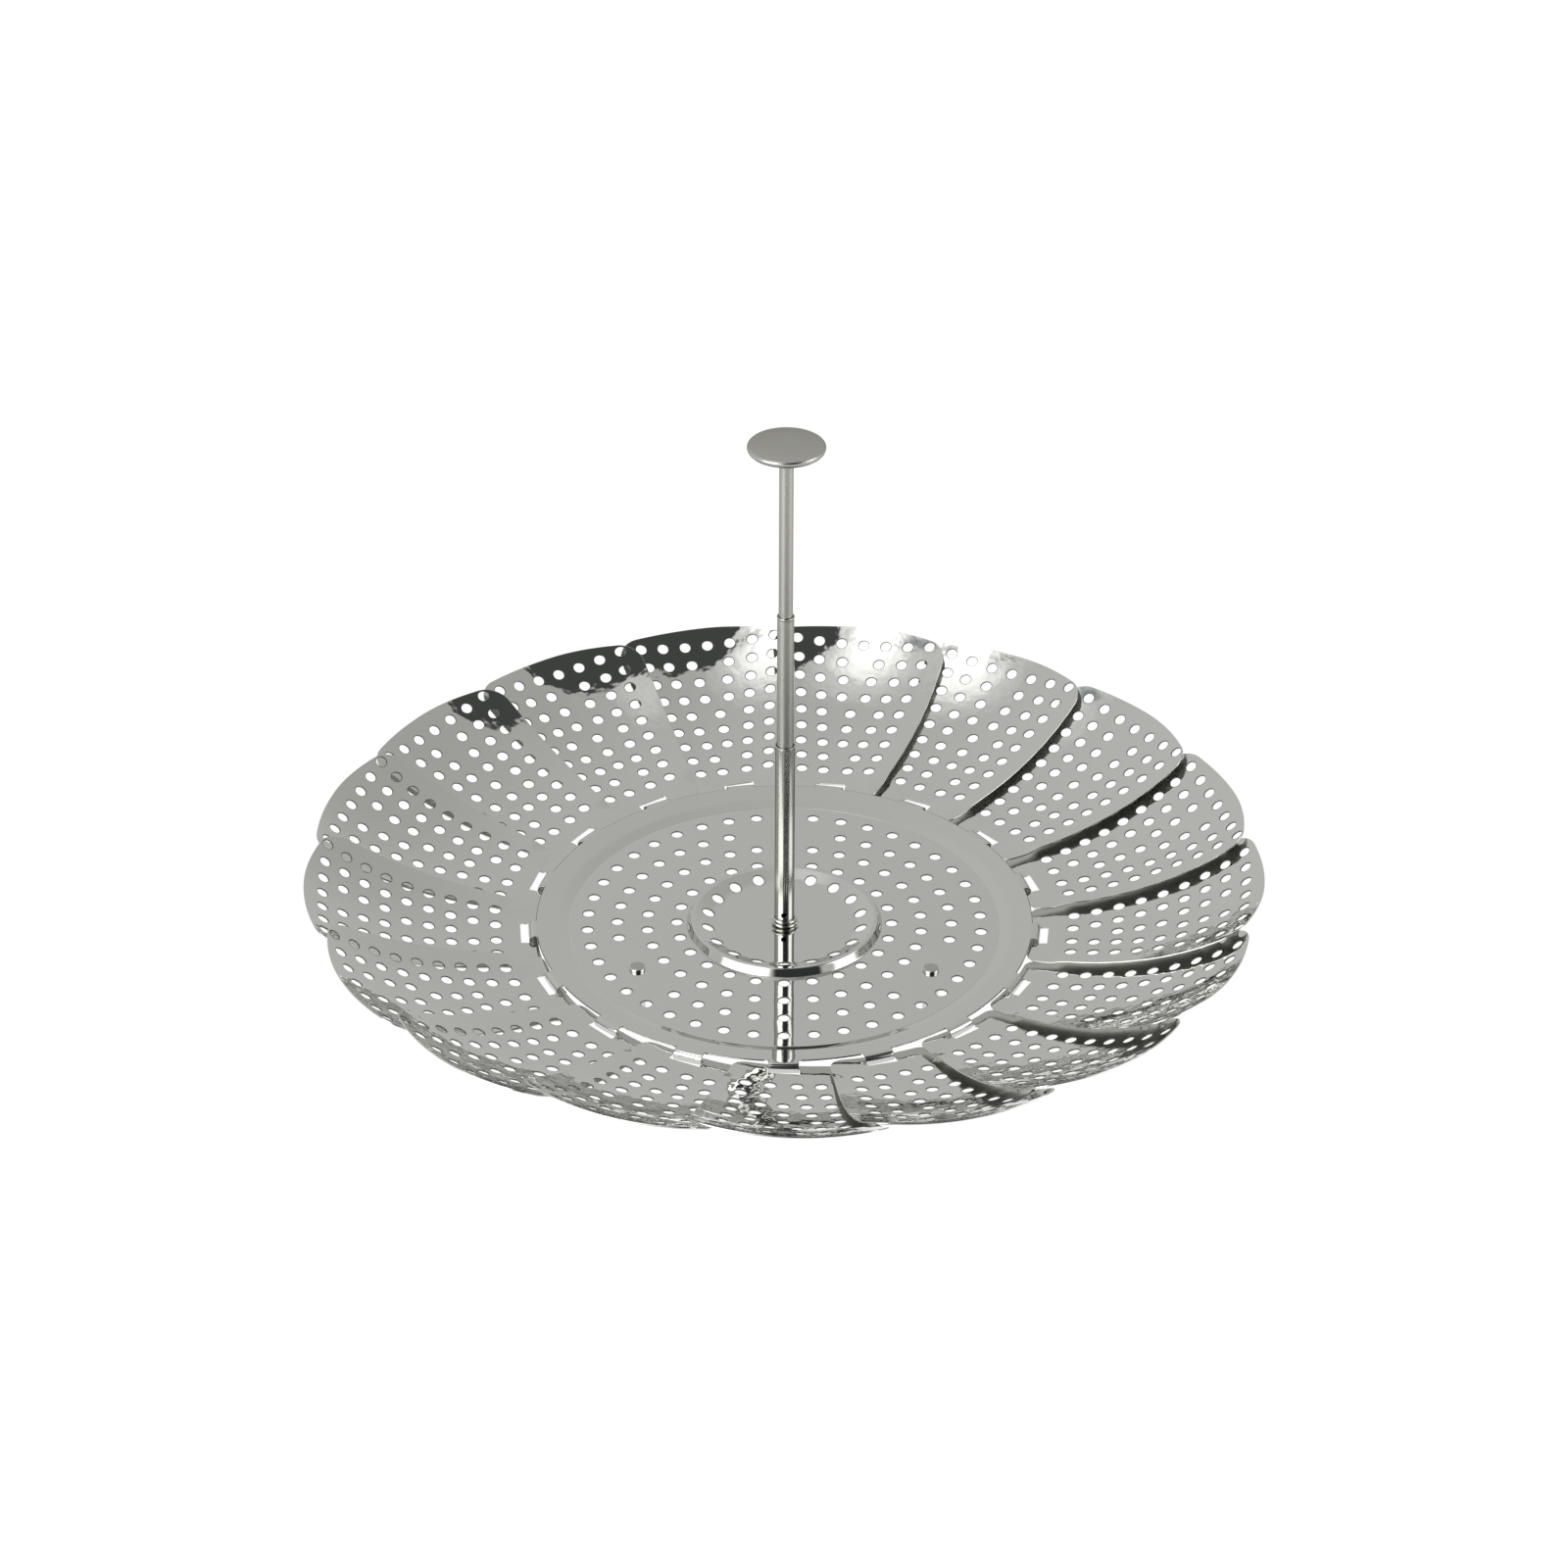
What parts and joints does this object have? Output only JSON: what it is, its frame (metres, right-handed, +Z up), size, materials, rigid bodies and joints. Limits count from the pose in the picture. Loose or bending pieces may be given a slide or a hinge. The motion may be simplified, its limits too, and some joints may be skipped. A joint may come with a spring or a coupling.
{
  "type": "vegetable steamer basket",
  "caption": "Folding stainless steel steamer basket: round perforated plate on short feet, overlapping hinged petals and a telescopic centre post with a round knob.",
  "frame": {"origin": "on the ground under the centre post, at the bottom of the feet", "axes": "+Z up along the post, -Y to the front of the basket, +X to its right"},
  "size_m": [0.2778, 0.2774, 0.1742],
  "materials": {
    "mirror_steel": "mirror polished stainless steel sheet",
    "satin_steel": "satin brushed stainless steel"
  },
  "bodies": {
    "base": {"base_plate": "mirror_steel", "foot_1": "mirror_steel", "foot_2": "mirror_steel", "foot_3": "mirror_steel", "post_rivet": "satin_steel", "post_clip": "mirror_steel", "lower_tube": "mirror_steel"},
    "middle_tube": {"middle_tube": "satin_steel"},
    "upper_tube": {"upper_tube": "satin_steel", "knob": "satin_steel"},
    "petal_01": {"petal_01": "mirror_steel"},
    "petal_02": {"petal_02": "mirror_steel"},
    "petal_03": {"petal_03": "mirror_steel"},
    "petal_04": {"petal_04": "mirror_steel"},
    "petal_05": {"petal_05": "mirror_steel"},
    "petal_06": {"petal_06": "mirror_steel"},
    "petal_07": {"petal_07": "mirror_steel"},
    "petal_08": {"petal_08": "mirror_steel"},
    "petal_09": {"petal_09": "mirror_steel"},
    "petal_10": {"petal_10": "mirror_steel"},
    "petal_11": {"petal_11": "mirror_steel"},
    "petal_12": {"petal_12": "mirror_steel"},
    "petal_13": {"petal_13": "mirror_steel"},
    "petal_14": {"petal_14": "mirror_steel"},
    "petal_15": {"petal_15": "mirror_steel"},
    "petal_16": {"petal_16": "mirror_steel"},
    "petal_17": {"petal_17": "mirror_steel"}
  },
  "joints": [
    {"name": "petal_01_hinge", "type": "hinge", "parent": "base", "child": "petal_01", "pos_m": [0.01347, 0.07205, 0.01665], "axis": [0.983, -0.1837, 0], "range_deg": [0, 55]},
    {"name": "petal_02_hinge", "type": "hinge", "parent": "base", "child": "petal_02", "pos_m": [0.03859, 0.06232, 0.01665], "axis": [0.8502, -0.5264, 0], "range_deg": [0, 55]},
    {"name": "petal_03_hinge", "type": "hinge", "parent": "base", "child": "petal_03", "pos_m": [0.05849, 0.04417, 0.01665], "axis": [0.6026, -0.798, 0], "range_deg": [0, 55]},
    {"name": "petal_04_hinge", "type": "hinge", "parent": "base", "child": "petal_04", "pos_m": [0.0705, 0.02006, 0.01665], "axis": [0.2737, -0.9618, 0], "range_deg": [0, 55]},
    {"name": "petal_05_hinge", "type": "hinge", "parent": "base", "child": "petal_05", "pos_m": [0.07299, -0.00676, 0.01665], "axis": [-0.0923, -0.9957, 0], "range_deg": [0, 55]},
    {"name": "petal_06_hinge", "type": "hinge", "parent": "base", "child": "petal_06", "pos_m": [0.06562, -0.03267, 0.01665], "axis": [-0.4457, -0.8952, 0], "range_deg": [0, 55]},
    {"name": "petal_07_hinge", "type": "hinge", "parent": "base", "child": "petal_07", "pos_m": [0.04938, -0.05417, 0.01665], "axis": [-0.739, -0.6737, 0], "range_deg": [0, 55]},
    {"name": "petal_08_hinge", "type": "hinge", "parent": "base", "child": "petal_08", "pos_m": [0.02648, -0.06835, 0.01665], "axis": [-0.9325, -0.3612, 0], "range_deg": [0, 55]},
    {"name": "petal_09_hinge", "type": "hinge", "parent": "base", "child": "petal_09", "pos_m": [0, -0.0733, 0.01665], "axis": [-1, 0, 0], "range_deg": [0, 55]},
    {"name": "petal_10_hinge", "type": "hinge", "parent": "base", "child": "petal_10", "pos_m": [-0.02648, -0.06835, 0.01665], "axis": [-0.9325, 0.3612, 0], "range_deg": [0, 55]},
    {"name": "petal_11_hinge", "type": "hinge", "parent": "base", "child": "petal_11", "pos_m": [-0.04938, -0.05417, 0.01665], "axis": [-0.739, 0.6737, 0], "range_deg": [0, 55]},
    {"name": "petal_12_hinge", "type": "hinge", "parent": "base", "child": "petal_12", "pos_m": [-0.06562, -0.03267, 0.01665], "axis": [-0.4457, 0.8952, 0], "range_deg": [0, 55]},
    {"name": "petal_13_hinge", "type": "hinge", "parent": "base", "child": "petal_13", "pos_m": [-0.07299, -0.00676, 0.01665], "axis": [-0.0923, 0.9957, 0], "range_deg": [0, 55]},
    {"name": "petal_14_hinge", "type": "hinge", "parent": "base", "child": "petal_14", "pos_m": [-0.0705, 0.02006, 0.01665], "axis": [0.2737, 0.9618, 0], "range_deg": [0, 55]},
    {"name": "petal_15_hinge", "type": "hinge", "parent": "base", "child": "petal_15", "pos_m": [-0.05849, 0.04417, 0.01665], "axis": [0.6026, 0.798, 0], "range_deg": [0, 55]},
    {"name": "petal_16_hinge", "type": "hinge", "parent": "base", "child": "petal_16", "pos_m": [-0.03859, 0.06232, 0.01665], "axis": [0.8502, 0.5264, 0], "range_deg": [0, 55]},
    {"name": "petal_17_hinge", "type": "hinge", "parent": "base", "child": "petal_17", "pos_m": [-0.01347, 0.07205, 0.01665], "axis": [0.983, 0.1837, 0], "range_deg": [0, 55]},
    {"name": "middle_tube_slide", "type": "slide", "parent": "base", "child": "middle_tube", "axis": [0, 0, 1], "range_m": [-0.0412, 0]},
    {"name": "upper_tube_slide", "type": "slide", "parent": "middle_tube", "child": "upper_tube", "axis": [0, 0, 1], "range_m": [-0.0516, 0]}
  ],
  "couplings": [
    {"joint": "petal_02_hinge", "follows": "petal_01_hinge", "ratio": 1},
    {"joint": "petal_03_hinge", "follows": "petal_01_hinge", "ratio": 1},
    {"joint": "petal_04_hinge", "follows": "petal_01_hinge", "ratio": 1},
    {"joint": "petal_05_hinge", "follows": "petal_01_hinge", "ratio": 1},
    {"joint": "petal_06_hinge", "follows": "petal_01_hinge", "ratio": 1},
    {"joint": "petal_07_hinge", "follows": "petal_01_hinge", "ratio": 1},
    {"joint": "petal_08_hinge", "follows": "petal_01_hinge", "ratio": 1},
    {"joint": "petal_09_hinge", "follows": "petal_01_hinge", "ratio": 1},
    {"joint": "petal_10_hinge", "follows": "petal_01_hinge", "ratio": 1},
    {"joint": "petal_11_hinge", "follows": "petal_01_hinge", "ratio": 1},
    {"joint": "petal_12_hinge", "follows": "petal_01_hinge", "ratio": 1},
    {"joint": "petal_13_hinge", "follows": "petal_01_hinge", "ratio": 1},
    {"joint": "petal_14_hinge", "follows": "petal_01_hinge", "ratio": 1},
    {"joint": "petal_15_hinge", "follows": "petal_01_hinge", "ratio": 1},
    {"joint": "petal_16_hinge", "follows": "petal_01_hinge", "ratio": 1},
    {"joint": "petal_17_hinge", "follows": "petal_01_hinge", "ratio": 1}
  ]
}
